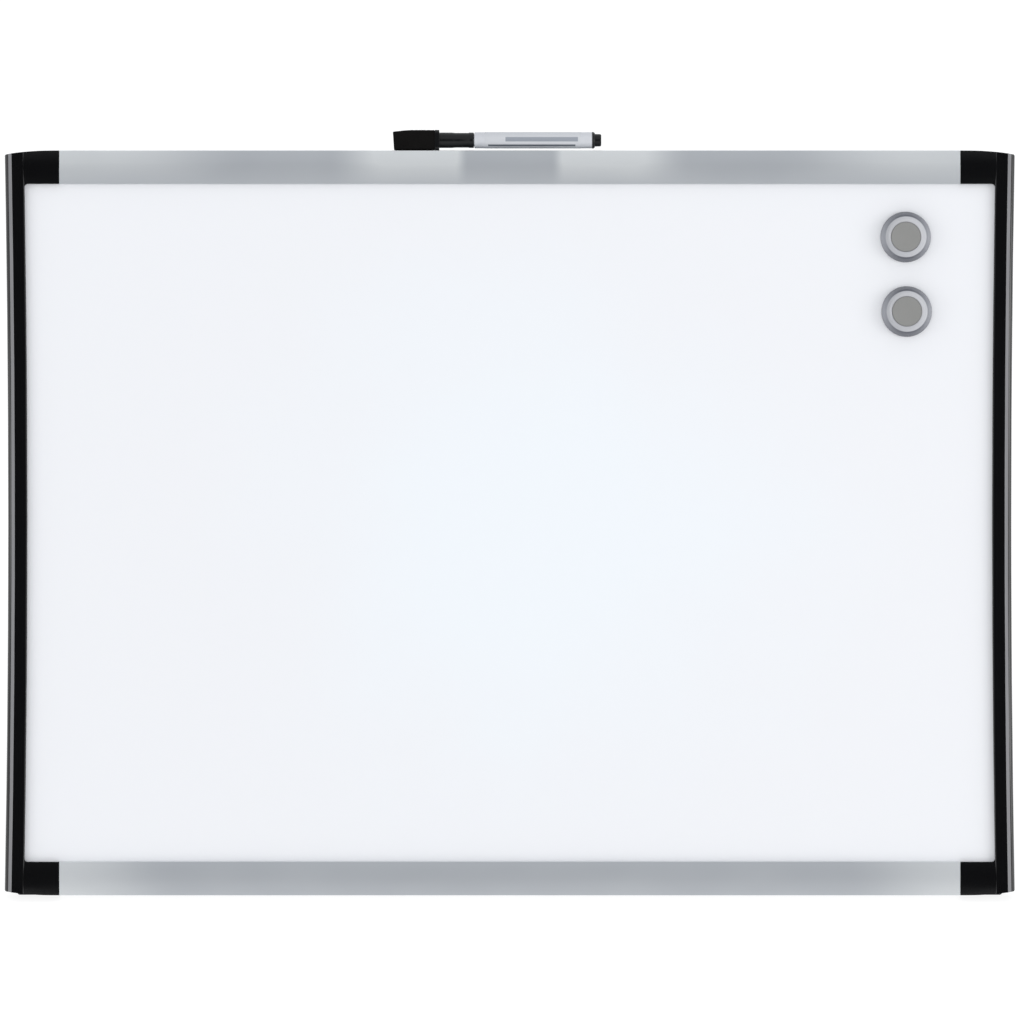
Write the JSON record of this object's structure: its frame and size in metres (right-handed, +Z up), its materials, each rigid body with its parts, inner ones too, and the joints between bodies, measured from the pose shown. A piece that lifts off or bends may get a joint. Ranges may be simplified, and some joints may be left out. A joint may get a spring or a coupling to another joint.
{
  "type": "magnetic desk whiteboard easel",
  "caption": "Framed magnetic whiteboard that leans on a fold-out tube leg, with two round magnets and a capped marker lying on the top rail.",
  "frame": {"origin": "on the desk, under the middle of the whole object's box as it stands with its leg open", "axes": "+X to the viewer's right along the board, +Y to the rear, towards the leg, +Z up; the board leans back 15 degrees"},
  "size_m": [0.5848, 0.178, 0.4313],
  "materials": {
    "satin_aluminium": "satin anodised extrusion",
    "black_abs": "moulded, semi-gloss",
    "silver_trim": "satin",
    "white_enamel": "gloss enamel on steel",
    "fibreboard": "raw",
    "galvanised_steel": "galvanised",
    "zinc_screws": "zinc plated",
    "black_rubber": "matte",
    "bracket_steel": "zinc plated",
    "rivet_aluminium": "satin",
    "bright_steel": "plated",
    "black_nylon": "fine texture",
    "tube_lacquer": "silver lacquer",
    "grey_magnet_shell": "satin",
    "grey_magnet_inlay": "fine texture",
    "ferrite": "sintered",
    "white_barrel": "gloss",
    "black_marker_plastic": "gloss",
    "eraser_felt": "pressed felt",
    "ink_felt": "fibre"
  },
  "bodies": {
    "board": {"top_rail": "satin_aluminium", "bottom_rail": "satin_aluminium", "left_side_frame": "black_abs", "right_side_frame": "black_abs", "left_trim_strip": "silver_trim", "right_trim_strip": "silver_trim", "writing_sheet": "white_enamel", "board_core": "fibreboard", "back_sheet": "galvanised_steel", "corner_screws": "zinc_screws", "left_board_foot": "black_rubber", "right_board_foot": "black_rubber", "left_hinge_bracket": "bracket_steel", "right_hinge_bracket": "bracket_steel", "backing_plates": "bracket_steel", "bracket_rivets": "rivet_aluminium", "left_hinge_pin": "bright_steel", "right_hinge_pin": "bright_steel", "left_leg_clip": "black_nylon", "right_leg_clip": "black_nylon", "clip_screws": "zinc_screws"},
    "leg": {"leg_tube": "tube_lacquer", "left_leg_knuckle": "black_nylon", "right_leg_knuckle": "black_nylon", "knuckle_pins": "bright_steel", "left_foot_sleeve": "black_rubber", "right_foot_sleeve": "black_rubber"},
    "upper_magnet": {"upper_magnet_housing": "grey_magnet_shell", "upper_magnet_inlay": "grey_magnet_inlay", "upper_magnet_core": "ferrite"},
    "lower_magnet": {"lower_magnet_housing": "grey_magnet_shell", "lower_magnet_inlay": "grey_magnet_inlay", "lower_magnet_core": "ferrite"},
    "marker": {"marker_barrel": "white_barrel", "marker_end_plug": "black_marker_plastic", "nib_holder": "white_barrel", "marker_nib": "ink_felt", "ink_reservoir": "ink_felt"},
    "cap": {"marker_cap": "black_marker_plastic", "cap_eraser": "eraser_felt", "cap_magnet": "bright_steel"}
  },
  "joints": [
    {"name": "leg_fold", "type": "hinge", "parent": "board", "child": "leg", "pos_m": [0, 0.01212, 0.28775], "axis": [1, 0, 0], "range_deg": [-29, 0]},
    {"name": "upper_magnet_pull", "type": "slide", "parent": "board", "child": "upper_magnet", "axis": [0, -0.9659, 0.2588], "range_m": [0, 0.03]},
    {"name": "lower_magnet_pull", "type": "slide", "parent": "board", "child": "lower_magnet", "axis": [0, -0.9659, 0.2588], "range_m": [0, 0.03]},
    {"name": "marker_lift", "type": "slide", "parent": "board", "child": "marker", "axis": [0, 0.2588, 0.9659], "range_m": [0, 0.04]},
    {"name": "cap_pull", "type": "slide", "parent": "marker", "child": "cap", "axis": [-1, 0, 0], "range_m": [0, 0.05]}
  ]
}
